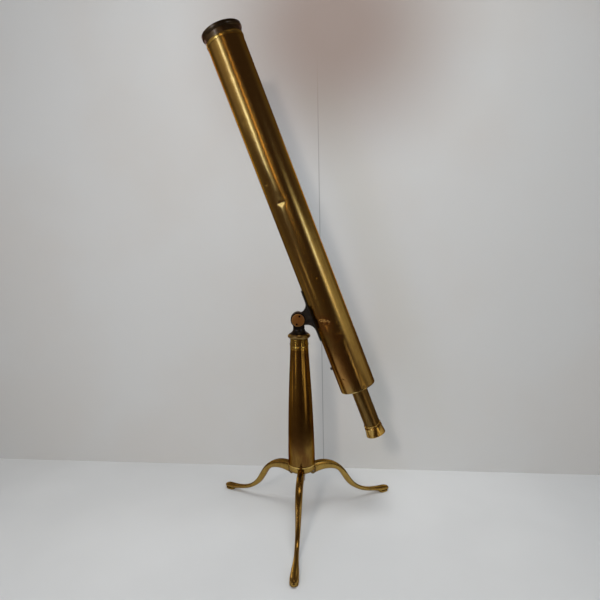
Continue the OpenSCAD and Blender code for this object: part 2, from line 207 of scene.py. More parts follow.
UNTILT = (0, math.radians(90 - ALTITUDE), 0)
UPRIGHT = Matrix.Rotation(UNTILT[1], 3, "Y")


def brass(name, bright, brown, rough, coat=0.35, coat_rough=0.12, tube=False, grain=1.0,
          patina=(0.30, 0.72), spots=0.35, marks=1.0, masks=None, edge=(0.40, 0.26, 0.14)):
    """Old brass: a lacquer or patina over metal, mottled, with fine marks and dark specks.
    masks is a function of the graph and the coordinates that may change the colour and the roughness."""
    g = Graph(name)
    turn = UNTILT if tube else (0, 0, 0)
    flat = g.coords(turn)
    long = g.coords(turn, (1, 1, 0.03))
    hoop = g.coords(turn, (0.08, 0.08, 1))
    cloud = g.noise(flat, 9, 5, 0.6, 0.8)
    mottle = g.noise(flat, 70, 6, 0.62, 0.3)
    fine = g.noise(flat, 900, 3, 0.6)
    lines = g.noise(long, 420, 3, 0.6)
    streak = g.noise(g.coords(turn, (1, 1, 0.09)), 110, 4, 0.6, 0.3)
    turned = g.noise(hoop, 700, 2, 0.6)
    mixed = g.math("ADD", g.math("MULTIPLY", cloud, 0.5), g.math("MULTIPLY", mottle, 0.22))
    mixed = g.math("MULTIPLY_ADD", streak, 0.28, mixed)
    age = g.ramp(mixed, *patina)
    colour = g.mix(age, rgb(*bright), rgb(*brown))
    cells = g.add("ShaderNodeTexVoronoi", {"Vector": flat, "Scale": 260.0}, feature="F1")
    speck = g.ramp(cells.outputs["Distance"], 0.10, 0.22, 1.0, 0.0)
    rare = g.ramp(g.noise(flat, 38, 2), 0.60, 0.70)
    speck = g.math("MULTIPLY", g.math("MULTIPLY", speck, rare), spots)
    colour = g.mix(speck, colour, rgb(brown[0] * 0.25, brown[1] * 0.22, brown[2] * 0.2))
    roughness = g.math("MULTIPLY_ADD", g.math("SUBTRACT", streak, 0.5), 0.10, rough)
    roughness = g.math("MULTIPLY_ADD", age, 0.04, roughness)
    roughness = g.math("MULTIPLY_ADD", speck, 0.25, roughness)
    height = g.math("MULTIPLY", fine, 0.10)
    height = g.math("MULTIPLY_ADD", lines if tube else turned, 0.5 * grain, height)
    scratch_field = g.noise(g.coords((0.5, 0.9, 0.3), (1, 0.05, 1)), 240, 2, 0.5, 0.5)
    scratch = g.ramp(g.math("ABSOLUTE", g.math("SUBTRACT", scratch_field, 0.5)), 0.0, 0.006, 1.0, 0.0)
    scratch = g.math("MULTIPLY", scratch, g.ramp(g.noise(flat, 16, 2), 0.52, 0.64))
    height = g.math("MULTIPLY_ADD", scratch, -1.2 * marks, height)
    colour = g.mix(g.math("MULTIPLY", scratch, 0.35 * marks), colour,
                   rgb(*[min(1, c * 1.6) for c in bright]))
    if masks:
        colour, roughness = masks(g, flat, colour, roughness)
    g.put(g.shader.inputs["Base Color"], colour)
    g.put(g.shader.inputs["Roughness"], roughness)
    g.put(g.shader.inputs["Metallic"], 1.0)
    g.put(g.shader.inputs["Specular Tint"], rgb(*edge))
    g.put(g.shader.inputs["Coat Weight"], coat)
    g.put(g.shader.inputs["Coat Roughness"], coat_rough)
    g.put(g.shader.inputs["Normal"], g.bump(height, 0.00006 * grain + 0.00002, 0.9))
    return g.material


def plain(name, colour, second, rough, metallic=0.0, scale=300.0, depth=0.00005, coat=0.0, sheen=0.0):
    """A mottled material without patina: paint, leather, cloth, steel."""
    g = Graph(name)
    flat = g.coords()
    blotch = g.noise(flat, scale * 0.12, 5, 0.6, 0.4)
    fine = g.noise(flat, scale * 3, 4, 0.65)
    tone = g.mix(g.ramp(blotch, 0.35, 0.65), rgb(*colour), rgb(*second))
    g.put(g.shader.inputs["Base Color"], tone)
    g.put(g.shader.inputs["Roughness"], g.math("MULTIPLY_ADD", g.math("SUBTRACT", blotch, 0.5), 0.3, rough))
    g.put(g.shader.inputs["Metallic"], metallic)
    g.put(g.shader.inputs["Coat Weight"], coat)
    g.put(g.shader.inputs["Sheen Weight"], sheen)
    height = g.math("MULTIPLY_ADD", blotch, 0.6, fine)
    g.put(g.shader.inputs["Normal"], g.bump(height, depth, 0.8))
    return g.material


def glass(name):
    g = Graph(name)
    flat = g.coords()
    g.put(g.shader.inputs["Base Color"], rgb(0.86, 0.91, 0.88))
    g.put(g.shader.inputs["Roughness"], g.ramp(g.noise(flat, 60, 4), 0.4, 0.8, 0.01, 0.09))
    g.put(g.shader.inputs["IOR"], 1.52)
    g.put(g.shader.inputs["Transmission Weight"], 1.0)
    g.put(g.shader.inputs["Coat Weight"], 0.2)
    return g.material


def z_of(g, vector):
    return g.add("ShaderNodeSeparateXYZ", {"Vector": vector}).outputs[2]


def head_masks(g, flat, colour, roughness):
    """The head is blackened down to the middle of the bead, and bare brass below it."""
    z = z_of(g, flat)
    edge = g.math("MULTIPLY_ADD", g.noise(flat, 160, 4), 0.0022, z)
    black = g.ramp(edge, 0.4066, 0.4082)
    rub = g.ramp(g.noise(flat, 210, 5, 0.7), 0.60, 0.70, 0.0, 0.45)
    tone = g.mix(rub, rgb(0.040, 0.036, 0.032), rgb(0.13, 0.10, 0.065))
    return g.mix(black, colour, tone), g.mix_value(black, roughness, 0.42)


def s_of(g, vector):
    """Distance along the tube from its lower rim, in metres, for coordinates turned by UNTILT."""
    return g.math("SUBTRACT", z_of(g, vector), RIM_UPRIGHT)


def cell_masks(g, flat, colour, roughness):
    """The objective cell is nearly black, apart from a band by the barrel, mottled, and darker at its front
    lip.
    """
    s = g.math("MULTIPLY_ADD", g.math("SUBTRACT", g.noise(flat, 120, 4), 0.5), 0.0012, s_of(g, flat))
    black = g.ramp(s, 0.7553, 0.7562)
    black = g.math("MAXIMUM", black, g.ramp(s, 0.7490, 0.7484))
    tone = g.mix(g.ramp(g.noise(flat, 34, 6, 0.65, 0.6), 0.38, 0.66), rgb(0.095, 0.066, 0.036),
                 rgb(0.17, 0.125, 0.068))
    lip = g.ramp(s, 0.7655, 0.7690)
    tone = g.mix(g.math("MULTIPLY", lip, 0.6), tone, rgb(0.05, 0.038, 0.026))
    return g.mix(black, colour, tone), g.mix_value(black, roughness, 0.33)


def hub_painted_light(g, flat, colour, roughness):
    """The hub's rim has a painted highlight, broken into glints, and its lugs have painted shade underneath.
    """
    z = g.math("MULTIPLY_ADD", g.math("SUBTRACT", g.noise(flat, 230, 4), 0.5), 0.0030, z_of(g, flat))
    rim_glint_breakup = g.ramp(g.noise(flat, 120, 3), 0.36, 0.60, 0.35, 1.0)
    # painted highlight along the hub's rim, broken up by noise into glints
    rim = g.math("MULTIPLY", g.ramp(z, 0.1165, 0.1185), rim_glint_breakup)
    colour = g.mix(rim, colour, rgb(0.66, 0.45, 0.13))
    # painted shade under the hub, over its lugs
    under = g.math("MULTIPLY", g.ramp(z, 0.1125, 0.1040), 0.75)
    return g.mix(under, colour, rgb(0.070, 0.038, 0.014)), roughness


def cap_shade_and_wear(g, flat, colour, roughness):
    """Painted shade in and round the two spanner holes of a pivot cap, and a worn bright rim."""
    flat_y = g.coords((0, 0, 0), (1, 0.001, 1))
    # painted shade in and round the two spanner holes
    hole = None
    for side in (-1, 1):
        turn = math.radians(CAP_HOLE_TURN)
        across, rise = side * CAP_HOLE_R * math.cos(turn), side * CAP_HOLE_R * math.sin(turn)
        place = ((PIVOT.x + across) * MM, 0, (PIVOT.z + rise) * MM)
        off = g.add("ShaderNodeVectorMath", {0: flat_y, 1: place}, operation="DISTANCE").outputs["Value"]
        ring = g.ramp(off, 0.0016, 0.0027, 1.0, 0.0)
        hole = ring if hole is None else g.math("MAXIMUM", hole, ring)
    centre = (PIVOT.x * MM, 0, PIVOT.z * MM)
    middle = g.add("ShaderNodeVectorMath", {0: flat_y, 1: centre}, operation="DISTANCE")
    rim = g.math("MULTIPLY", g.ramp(middle.outputs["Value"], 0.0118, 0.0130), 0.6)
    colour = g.mix(rim, colour, rgb(0.85, 0.55, 0.22))
    return g.mix(hole, colour, rgb(0.022, 0.014, 0.010)), g.mix_value(hole, roughness, 0.7)


def barrel_masks(g, flat, colour, roughness):
    """The barrel is browner towards its ends, with four orange-brown patches low on it, near the crease and
    the dents.
    """
    s = s_of(g, flat)
    cloud = g.math("MULTIPLY_ADD", g.math("SUBTRACT", g.noise(flat, 6, 4, 0.6, 0.5), 0.5), 0.18, s)
    low = g.ramp(cloud, 0.20, 0.02, 0.0, 0.35)
    high = g.ramp(cloud, 0.52, 0.74, 0.0, 0.30)
    colour = g.mix(g.math("ADD", low, high), colour, rgb(0.24, 0.125, 0.036))
    for s0, turn, near_r, far_r, amount in ((157, -120, 0.010, 0.030, 0.75), (125, -98, 0.006, 0.022, 0.55),
                                            (40, -132, 0.012, 0.045, 0.6), (85, -128, 0.010, 0.040, 0.5)):
        a = math.radians(turn)
        spot = UPRIGHT @ (TUBE_FRAME @ Vector((TUBE_R * math.cos(a), TUBE_R * math.sin(a), s0))) * MM
        off = g.add("ShaderNodeVectorMath", {0: flat, 1: tuple(spot)}, operation="DISTANCE").outputs["Value"]
        off = g.math("MULTIPLY_ADD", g.math("SUBTRACT", g.noise(flat, 55, 4), 0.5), 0.02, off)
        colour = g.mix(g.ramp(off, near_r, far_r, amount, 0.0), colour, rgb(0.42, 0.19, 0.048))
    # the lower edge is worn bright, and this brighter colour also paints the highlight along it
    rim_wear_and_highlight = g.math("MULTIPLY", g.ramp(s, 0.0019, 0.0009), g.ramp(g.noise(flat, 190, 4), 0.42, 0.58))
    return g.mix(rim_wear_and_highlight, colour, rgb(0.80, 0.62, 0.24)), roughness


def pillar_masks(g, flat, colour, roughness):
    """The pillar is browner towards its foot, and polished in a band under the collar."""
    z = z_of(g, flat)
    cloud = g.noise(g.coords((0, 0, 0), (1, 1, 0.25)), 42, 4, 0.6, 0.4)
    foot = g.math("MULTIPLY", g.ramp(z, 0.30, 0.15), g.ramp(cloud, 0.30, 0.62, 0.35, 0.95))
    colour = g.mix(foot, colour, rgb(0.150, 0.066, 0.017))
    polish = g.ramp(z, 0.3720, 0.3734)
    colour = g.mix(polish, colour, rgb(0.56, 0.38, 0.09))
    return colour, roughness


TUBE_BRASS = ((0.46, 0.315, 0.094), (0.34, 0.212, 0.062))
aged = brass("aged_brass_tube", *TUBE_BRASS, 0.20, 0.10, 0.05, tube=True, grain=0.12, spots=0.2, marks=0.4,
             masks=barrel_masks)
tail_brass = brass("aged_brass_tail", *TUBE_BRASS, 0.2, 0.3, 0.07, tube=True, grain=0.35, spots=0.2,
                   marks=0.4)
pillar_brass = brass("aged_brass_pillar", (0.43, 0.275, 0.062), (0.21, 0.105, 0.026), 0.17, 0.04, 0.06,
                     grain=0.3, spots=0.25, marks=0.7, masks=pillar_masks)
stand = brass("stand_brass", (0.42, 0.27, 0.066), (0.22, 0.120, 0.032), 0.22, 0.15, 0.10, grain=0.2,
              patina=(0.38, 0.72))
hub_brass = brass("hub_brass", (0.46, 0.30, 0.075), (0.24, 0.135, 0.035), 0.24, 0.2, 0.10, grain=0.6,
                  patina=(0.38, 0.72), masks=hub_painted_light)
bright = brass("bright_brass", (0.62, 0.44, 0.10), (0.34, 0.21, 0.05), 0.17, 0.3, 0.07, grain=0.5,
               patina=(0.42, 0.8), spots=0.25)
bright_tube = brass("bright_brass_tube", (0.60, 0.39, 0.10), (0.36, 0.21, 0.055), 0.18, 0.3, 0.07, tube=True,
                    grain=0.4, patina=(0.42, 0.8), spots=0.25)
draw_brass = brass("draw_brass", (0.24, 0.145, 0.040), (0.12, 0.064, 0.020), 0.30, 0.1, 0.07, tube=True,
                   grain=0.6)
cell_brass = brass("dark_brass", (0.66, 0.47, 0.12), (0.34, 0.22, 0.06), 0.2, 0.25, 0.12, tube=True,
                   grain=0.6, masks=cell_masks)
copper = brass("copper_brass", (0.80, 0.40, 0.12), (0.52, 0.24, 0.07), 0.42, 0.2, 0.2, grain=0.3,
               patina=(0.3, 0.7), spots=0.6, masks=cap_shade_and_wear)
inner = brass("inner_brass", (0.62, 0.46, 0.18), (0.36, 0.24, 0.09), 0.38, 0.0, grain=1.0)
head_black = brass("head_black", (0.52, 0.37, 0.13), (0.24, 0.15, 0.055), 0.26, 0.2, 0.2, grain=0.3,
                   masks=head_masks)
black_brass = plain("blackened_brass", (0.030, 0.027, 0.025), (0.065, 0.055, 0.045), 0.42, 0.75, 420,
                    0.00006, 0.15)
steel = plain("steel", (0.30, 0.28, 0.26), (0.20, 0.18, 0.16), 0.38, 1.0, 500)
black_steel = plain("black_steel", (0.03, 0.03, 0.032), (0.06, 0.05, 0.05), 0.35, 0.9, 500)
black_paint = plain("black_paint", (0.012, 0.012, 0.012), (0.022, 0.02, 0.018), 0.75, 0.0, 400)
leather = plain("leather", (0.10, 0.055, 0.03), (0.05, 0.03, 0.018), 0.7, 0.0, 300, 0.0001)
cloth = plain("cloth", (0.20, 0.03, 0.03), (0.12, 0.02, 0.02), 0.9, 0.0, 700, 0.0001, 0.0, 0.4)
clear = glass("glass")


# ---- the barrel, with its dents ----

def near(s, turn, s0, turn0):
    """Distance in mm along the tube and round it from a spot on the surface."""
    return s - s0, math.radians(turn - turn0) * TUBE_R


def pit(ds, dt, rs, rt, depth, power=2.0):
    q = (abs(ds) / rs) ** power + (abs(dt) / rt) ** power
    return depth * math.exp(-q * 1.4)


def dents(s, turn):
    """Depth of the dents of the barrel, in mm, at s along it and turn degrees round it."""
    d = 0.0
    a, b = near(s, turn, 463, -135)
    d += pit(a, b, 3.4, 4.0, 1.6) + pit(a, b, 22, 15, 0.55)
    a, b = near(s, turn, 417, -109)
    d += pit(a + 0.10 * b, b, 4.2, 8.5, 1.15) + pit(a - 7, b, 16, 13, 0.9)
    a, b = near(s, turn, 440, -121)
    d += pit(a, b, 40, 16, 0.5)
    a, b = near(s, turn, 253, -91)
    d += pit(a, b, 2.4, 2.0, 0.7)
    # the large crease above the lower end: a sharp upper lip with a hollow below it, and a smaller one
    for s0, t0, length, low, depth in ((159, -115, 19, 15, 1.7), (127, -94, 11, 12, 1.1)):
        a, b = near(s, turn, s0, t0)
        u = -0.33 * a + 0.94 * b
        v = 0.94 * a + 0.33 * b
        lip = (8.0 - 0.22 * abs(u)) if v > 0 else low
        d += pit(v, u, max(3.0, lip), length, depth)
        d += pit(v - 3, u, 9, length, 0.9) * noise.noise(Vector((a * 0.28, b * 0.28, s0)))
    a, b = near(s, turn, 60, -123)
    d += pit(a, b, 26, 10, 0.35)
    a, b = near(s, turn, 36, -129)
    d += pit(a + 0.5 * b, b, 1.3, 4.2, 0.45)
    a, b = near(s, turn, 7.5, -73.3)
    d += pit(a, b, 3.0, 3.0, 0.35)
    for s0, t0, r, depth in ((705, -120, 6, 0.12), (668, -112, 5, 0.2), (590, -128, 7, 0.2),
                             (560, -115, 5, 0.16), (520, -60, 9, 0.15), (330, -40, 8, 0.15),
                             (250, 60, 10, 0.3), (610, 95, 9, 0.3),
                             (380, 120, 12, 0.35), (90, 20, 9, 0.2), (214, -150, 6, 0.2)):
        a, b = near(s, turn, s0, t0)
        if abs(b) < 60:
            d += pit(a, b, r, r, depth)
    return d


def barrel():
    count = 256
    turns = [-180 + 360 * i / count for i in range(count)]
    steps = [0.0, 0.35, 0.8, 1.6]
    s = 1.6
    while s < TUBE_LEN - 2:
        fine = s < 60 or 105 < s < 190 or 246 < s < 260 or 395 < s < 480
        s += 1.3 if fine else 3.2
        steps.append(min(s, TUBE_LEN - 1.6))
    steps += [TUBE_LEN - 0.5, TUBE_LEN]
    verts, faces = [], []
    for s in steps:
        lip = 0.25 * (1 - smooth(s, 0, 0.8))
        for t in turns:
            c, q = math.cos(math.radians(t)), math.sin(math.radians(t))
            wave = 0.035 * (1 + noise.noise(Vector((c * 1.8, q * 1.8, s * 0.005)))) \
                + 0.003 * (1 + noise.noise(Vector((c * 5, q * 5, s * 0.016 + 9))))
            ends = smooth(s, 0, 12) * (1 - smooth(s, TUBE_LEN - 8, TUBE_LEN))
            depth = dents(s, t) + wave * ends + lip
            r = TUBE_R - depth
            verts.append((r * c, r * q, s))
    rows = len(steps)
    for k in range(rows - 1):
        for i in range(count):
            j = (i + 1) % count
            faces.append((k * count + i, k * count + j, (k + 1) * count + j, (k + 1) * count + i))
    base = len(verts)
    inner_steps = list(range(rows - 1, -1, -6))
    if inner_steps[-1] != 0:
        inner_steps.append(0)
    for k in inner_steps:
        s = steps[k]
        for i, t in enumerate(turns):
            c, q = math.cos(math.radians(t)), math.sin(math.radians(t))
            outer = verts[k * count + i]
            r = min(BORE_R, math.hypot(outer[0], outer[1]) - 0.9)
            verts.append((r * c, r * q, s))
    n = len(inner_steps)
    for k in range(n - 1):
        for i in range(count):
            j = (i + 1) % count
            a = base + k * count
            faces.append((a + i, a + j, a + count + j, a + count + i))
    for i in range(count):
        j = (i + 1) % count
        top, low = (rows - 1) * count, base + (n - 1) * count
        faces.append((top + i, top + j, base + j, base + i))
        faces.append((low + i, low + j, j, i))
    return verts, faces


def bore_holes(obj, place, holes):
    """Cuts round holes through a piece. Each hole is radius, height and turn in the place's frame."""
    for k, (radius, s, turn) in enumerate(holes):
        verts, faces = lathe([(0, 30), (radius, 30), (radius, 45), (0, 45)], 24, closed=False)
        spin = Matrix.Rotation(math.radians(turn), 4, "Z")
        aim = Matrix.Translation((0, 0, s)) @ spin @ Matrix.Rotation(math.radians(90), 4, "Y")
        mesh = bpy.data.meshes.new("cutter")
        mesh.from_pydata([tuple((place @ aim @ Vector(v)) * MM) for v in verts], [], faces)
        cutter = bpy.data.objects.new("cutter", mesh)
        bpy.context.scene.collection.objects.link(cutter)
        mod = obj.modifiers.new("hole%d" % k, "BOOLEAN")
        mod.operation = "DIFFERENCE"
        mod.solver = "EXACT"
        mod.object = cutter
        dg = bpy.context.evaluated_depsgraph_get()
        dg.update()
        result = bpy.data.meshes.new_from_object(obj.evaluated_get(dg))
        obj.modifiers.clear()
        old = obj.data
        obj.data = result
        bpy.data.meshes.remove(old)
        bpy.data.objects.remove(cutter)
        bpy.data.meshes.remove(mesh)


verts, faces = barrel()
tube = make("barrel", verts, faces, "telescope", ("main_tube",), TUBE_FRAME, aged, 50)
bore_holes(tube, TUBE_FRAME, [(1.5, 7.5, -73.3), (1.5, 7.5, 46.7), (1.5, 7.5, 166.7)])


# ---- the pillar ----

def taper(z):
    return min(1.0, max(0.0, (z - 150) / (368.4 - 150)))


def pillar_radius(z):
    t = taper(z)
    return 28.9 + (19.7 - 28.9) * t + 1.2 * math.sin(math.pi * t)


outer = [(pillar_radius(z), z) for z in np.linspace(123, 379.6, 90)]
outer = [(28.5, PILLAR_FOOT_Z), (28.9, PILLAR_FOOT_Z + 0.5)] + outer + [(19.4, COLLAR_Z0)]
wall = [(pillar_radius(z) - 2.2, z) for z in np.linspace(379, PILLAR_FOOT_Z, 12)]
wall = [(17.5, COLLAR_Z0)] + wall
verts, faces = lathe(outer + wall, 160)
wavy = []
for x, y, z in verts:
    r = math.hypot(x, y)
    k = 0.05 * (1 + noise.noise(Vector((x * 0.09, y * 0.09, z * 0.012))))
    wavy.append((x * (1 - k / r), y * (1 - k / r), z))
make("pillar_tube", wavy, faces, "stand", ("pillar",), STAND_FRAME, pillar_brass, 40)


# ---- legs ----

LEG_TOP = [(30.5, 116)] + bezier((30.5, 116), (52, 118), (72, 112), (90, 98.5), 12) \
    + bezier((90, 98.5), (112, 82), (118, 59), (135, 42), 12) \
    + bezier((135, 42), (152, 25), (172, 18.5), (198, 15.6), 12) \
    + bezier((198, 15.6), (212, 14.2), (230.5, 15.5), (230.5, 4.5), 14)
LEG_LOW = [(30.5, 91)] + bezier((30.5, 91), (46, 95.6), (67, 95.6), (82.5, 87.6), 12) \
    + bezier((82.5, 87.6), (101, 77), (105, 50.5), (126.5, 34.8), 12) \
    + bezier((126.5, 34.8), (144.5, 20.8), (162, 13.4), (182, 9.4), 12) \
    + bezier((182, 9.4), (192, 7.4), (198, 5.5), (204, 2.5), 5) \
    + bezier((204, 2.5), (212, 2.5), (220, 2.5), (228.5, 2.5), 7) + [(230.5, 4.5)]
LEG_WIDTH = [(30.5, 7.8)] + bezier((30.5, 7.8), (75, 8), (95, 7.8), (112, 6.2), 8) \
    + bezier((112, 6.2), (128, 4.6), (150, 4.3), (168, 4.6), 8) \
    + bezier((168, 4.6), (184, 5.1), (196, 8.1), (213, 8.3), 8) \
    + bezier((213, 8.3), (224, 8.5), (230.6, 6), (230.6, 0), 12)


def along(points, count):
    """Points at equal shares of the length of a polyline."""
    p = np.array(points, float)
    d = np.r_[0, np.cumsum(np.linalg.norm(np.diff(p, axis=0), axis=1))]
    t = np.linspace(0, d[-1], count)
    return np.c_[np.interp(t, d, p[:, 0]), np.interp(t, d, p[:, 1])]


def width_at(r):
    xs = [p[0] for p in LEG_WIDTH]
    ys = [p[1] for p in LEG_WIDTH]
    return float(np.interp(r, xs, ys))


def leg_mesh():
    count = 110
    top, low = along(LEG_TOP, count), along(LEG_LOW, count)
    ring = 28
    verts, faces = [], []
    for k in range(count):
        a, b = top[k], low[k]
        w = max(0.25, width_at(0.5 * (a[0] + b[0])))
        if k > count - 8:
            w *= math.sqrt(max(0.0, 1 - ((k - (count - 8)) / 7.6) ** 2)) * 0.5 + 0.5
        mid, half = (a + b) / 2, (a - b) / 2
        squareness = 3.4 - 1.2 * smooth(k, count * 0.62, count * 0.85)
        for i in range(ring):
            t = 2 * math.pi * i / ring
            c, q = math.cos(t), math.sin(t)
            y = math.copysign(abs(c) ** (2 / squareness), c) * w
            h = math.copysign(abs(q) ** (2 / squareness), q)
            # the sides are a little fuller below than above, as on the casting
            y *= 1 - 0.10 * max(0.0, h)
            p = mid + half * h
            verts.append((p[0], y, p[1]))
    for k in range(count - 1):
        for i in range(ring):
            j = (i + 1) % ring
            faces.append((k * ring + i, k * ring + j, (k + 1) * ring + j, (k + 1) * ring + i))
    faces.append(tuple(range(ring)))
    faces.append(tuple(range((count - 1) * ring, count * ring))[::-1])
    return verts, faces


def joined(*parts):
    verts, faces = [], []
    for v, f in parts:
        base = len(verts)
        verts += v
        faces += [tuple(base + i for i in face) for face in f]
    return verts, faces


def tongue():
    """The leg's tongue, which turns on its pin between the hub's lugs."""
    low, top = PIN_Z - TONGUE_R, PIN_Z + TONGUE_R
    side = [(TONGUE_OUT, low), (PIN_R, low)]
    side += [(PIN_R + TONGUE_R * math.cos(math.radians(a)), PIN_Z + TONGUE_R * math.sin(math.radians(a)))
             for a in range(-100, -261, -10)]
    side += [(PIN_R, top), (TONGUE_OUT, top)]
    n = len(side)
    verts = [(x, -TONGUE_HALF, z) for x, z in side] + [(x, TONGUE_HALF, z) for x, z in side]
    faces = [tuple(range(n)), tuple(range(n, 2 * n))[::-1]]
    faces += [(i, n + i, n + (i + 1) % n, (i + 1) % n) for i in range(n)]
    return verts, faces


def foot_pad():
    """The oval pad under a foot, with soft edges."""
    rings = []
    for inset, z in ((0.35, 0), (0, 0.4), (0, 3.4), (0.7, 4.0)):
        ring = []
        for k in range(48):
            a = math.radians(k * 7.5 - 90 + 3.75)
            side = 1 if k < 24 else -1
            r = PAD_R - inset
            ring.append((PAD_AT + PAD_HALF * side + r * math.cos(a), r * math.sin(a), z))
        rings.append(ring)
    verts = [p for ring in rings for p in ring]
    faces = [tuple(range(48))[::-1], tuple(range(144, 192))]
    for k in range(3):
        faces += [(48 * k + i, 48 * k + (i + 1) % 48, 48 * k + 48 + (i + 1) % 48, 48 * k + 48 + i)
                  for i in range(48)]
    return verts, faces


for i, side in enumerate(("front", "right", "left")):
    leg = "leg_" + side
    verts, faces = joined(leg_mesh(), tongue(), foot_pad())
    place = Matrix.Rotation(math.radians(LEG_TURN - 90 + 120 * i), 4, "Z")
    make(leg + "_casting", verts, faces, side + "_leg", (leg,), place, stand, 45)


# ---- materials on the CAD pieces that are shown as they are ----

SHOWN = {
    "hub": (hub_brass, "stand_brass"), "finial_bolt": (stand, "stand_brass"),
    "leg_hinge_pins": (steel, "steel"),
    "pillar_plug": (inner, "inner_brass"), "collar": (bright, "bright_brass"),
    "collar_screws": (steel, "steel"),
    "head_fork": (head_black, "blackened_brass"), "swivel_washer": (leather, "leather"),
    "pivot_bolt": (steel, "steel"), "pivot_cap": (copper, "copper_brass"),
    "pivot_nut": (copper, "copper_brass"),
    "cradle": (black_brass, "blackened_brass"), "friction_washers": (leather, "leather"),
    "cradle_screws": (black_brass, "blackened_brass"), "objective_cell": (cell_brass, "dark_brass"),
    "crown_lens": (clear, "glass"), "flint_lens": (clear, "glass"), "lens_ring": (black_paint, "black_paint"),
    "front_baffle": (black_paint, "black_paint"), "rear_baffle": (black_paint, "black_paint"),
    "tail_plate": (tail_brass, "aged_brass"), "tail_screws": (tail_brass, "aged_brass"),
    "draw_sleeve": (inner, "inner_brass"),
    "sleeve_lining": (cloth, "cloth"), "sleeve_ring": (inner, "inner_brass"),
    "sleeve_ring_screw": (black_steel, "black_steel"), "draw_tube": (draw_brass, "draw_brass"),
    "draw_stop_ring": (inner, "inner_brass"), "erector_tube": (black_paint, "black_paint"),
    "erector_front_lens": (clear, "glass"), "erector_rear_lens": (clear, "glass"),
    "erector_stop": (black_paint, "black_paint"), "eyepiece_body": (bright_tube, "bright_brass"),
    "field_lens": (clear, "glass"), "eye_lens": (clear, "glass"),
    "eye_lens_ring": (black_paint, "black_paint"),
    "eye_cap": (bright_tube, "bright_brass"),
}
for name, (material, slot) in SHOWN.items():
    obj = nodes[name]
    obj.data.materials.clear()
    obj.data.materials.append(material)
    obj.data.shade_smooth()
    obj.data.set_sharp_from_angle(angle=math.radians(24))


# ---- stage ----

SEAM_X = 0.0590
# middle of the brownish shadow painted on the wall
WALL_SHADOW_AT = (0.10, 0.22, 1.12)


def stage_material(name, colour, second, seam=False):
    """Plain paint. The wall's has a thin seam and a painted brownish shadow high up."""
    g = Graph(name)
    flat = g.coords()
    tone = g.mix(g.ramp(g.noise(flat, 2.2, 3), 0.35, 0.65), rgb(*colour), rgb(*second))
    if seam:
        x = g.add("ShaderNodeSeparateXYZ", {"Vector": flat}).outputs[0]
        off = g.math("ABSOLUTE", g.math("SUBTRACT", x, SEAM_X))
        tone = g.mix(g.ramp(off, 0.0006, 0.0016, 0.45, 0.0), tone, rgb(0.12, 0.12, 0.12))
        # a soft brownish shadow painted on the wall, high up
        offset = g.add("ShaderNodeVectorMath", {0: flat, 1: WALL_SHADOW_AT}, operation="DISTANCE")
        painted_wall_shadow = g.ramp(offset.outputs["Value"], 0.42, 0.05, 0.0, 1.0)
        tone = g.mix(painted_wall_shadow, tone, rgb(0.33, 0.265, 0.235))
    g.put(g.shader.inputs["Base Color"], tone)
    g.put(g.shader.inputs["Roughness"], 0.55)
    g.put(g.shader.inputs["Specular IOR Level"], 0.3)
    return g


def slab(name, corners, graph):
    mesh = bpy.data.meshes.new(name)
    mesh.from_pydata(corners, [], [tuple(range(len(corners)))])
    mesh.materials.append(graph.material)
    obj = bpy.data.objects.new(name, mesh)
    bpy.context.scene.collection.objects.link(obj)
    return obj


TABLE_R, TABLE_SIDES = 0.46, 96
FLOOR_HALF = 4
TABLE_Z, FLOOR_Z = -0.0002, -0.0004
WALL_LEFT, WALL_RIGHT, WALL_TOP = (-1.2, 0.357), (1.2, 0.093), 1.7
floor_graph = stage_material("floor_paint", (0.65, 0.655, 0.66), (0.61, 0.615, 0.62))
around = [2 * math.pi * i / TABLE_SIDES for i in range(TABLE_SIDES)]
slab("table", [(TABLE_R * math.cos(a), TABLE_R * math.sin(a), TABLE_Z) for a in around], floor_graph)
# the rest of the floor looks the same, but only the part near the stand shows in the brass
square = ((-1, -1), (1, -1), (1, 1), (-1, 1))
floor = slab("floor", [(FLOOR_HALF * x, FLOOR_HALF * y, FLOOR_Z) for x, y in square], floor_graph)
floor.visible_glossy = False
wall_graph = stage_material("wall_paint", (0.61, 0.612, 0.605), (0.60, 0.588, 0.57), seam=True)
# the wall shows only its front, so that views from behind are open
back = wall_graph.add("ShaderNodeNewGeometry").outputs["Backfacing"]
see_through = wall_graph.add("ShaderNodeBsdfTransparent")
chooser = wall_graph.add("ShaderNodeMixShader")
wall_graph.put(chooser.inputs[0], back)
wall_graph.put(chooser.inputs[1], wall_graph.shader.outputs[0])
wall_graph.put(chooser.inputs[2], see_through.outputs[0])
output = [n for n in wall_graph.tree.nodes if n.type == "OUTPUT_MATERIAL"][0]
wall_graph.put(output.inputs[0], chooser.outputs[0])
wall_corners = [(*WALL_LEFT, TABLE_Z), (*WALL_RIGHT, TABLE_Z)]
wall_corners += [(*WALL_RIGHT, WALL_TOP), (*WALL_LEFT, WALL_TOP)]
wall = slab("wall", wall_corners, wall_graph)
# the wall is left out of reflections, so the barrel's rims stay dark, and throws no shadow on the object
wall.visible_glossy = False
wall.visible_shadow = False


# ---- light ----

def panel(name, position, target, size_x, size_y, power, colour, spread=180):
    light = bpy.data.lights.new(name, "AREA")
    light.shape = "RECTANGLE"
    light.size = size_x
    light.size_y = size_y
    light.energy = power
    light.color = colour
    light.spread = math.radians(spread)
    obj = bpy.data.objects.new(name, light)
    bpy.context.scene.collection.objects.link(obj)
    obj.location = position
    obj.rotation_euler = (Vector(target) - Vector(position)).to_track_quat("-Z", "Y").to_euler()
    return obj


def at(azimuth, distance, z):
    """A place behind the camera: azimuth in degrees to the right of -Y."""
    a = math.radians(azimuth)
    return (math.sin(a) * distance, -math.cos(a) * distance, z)


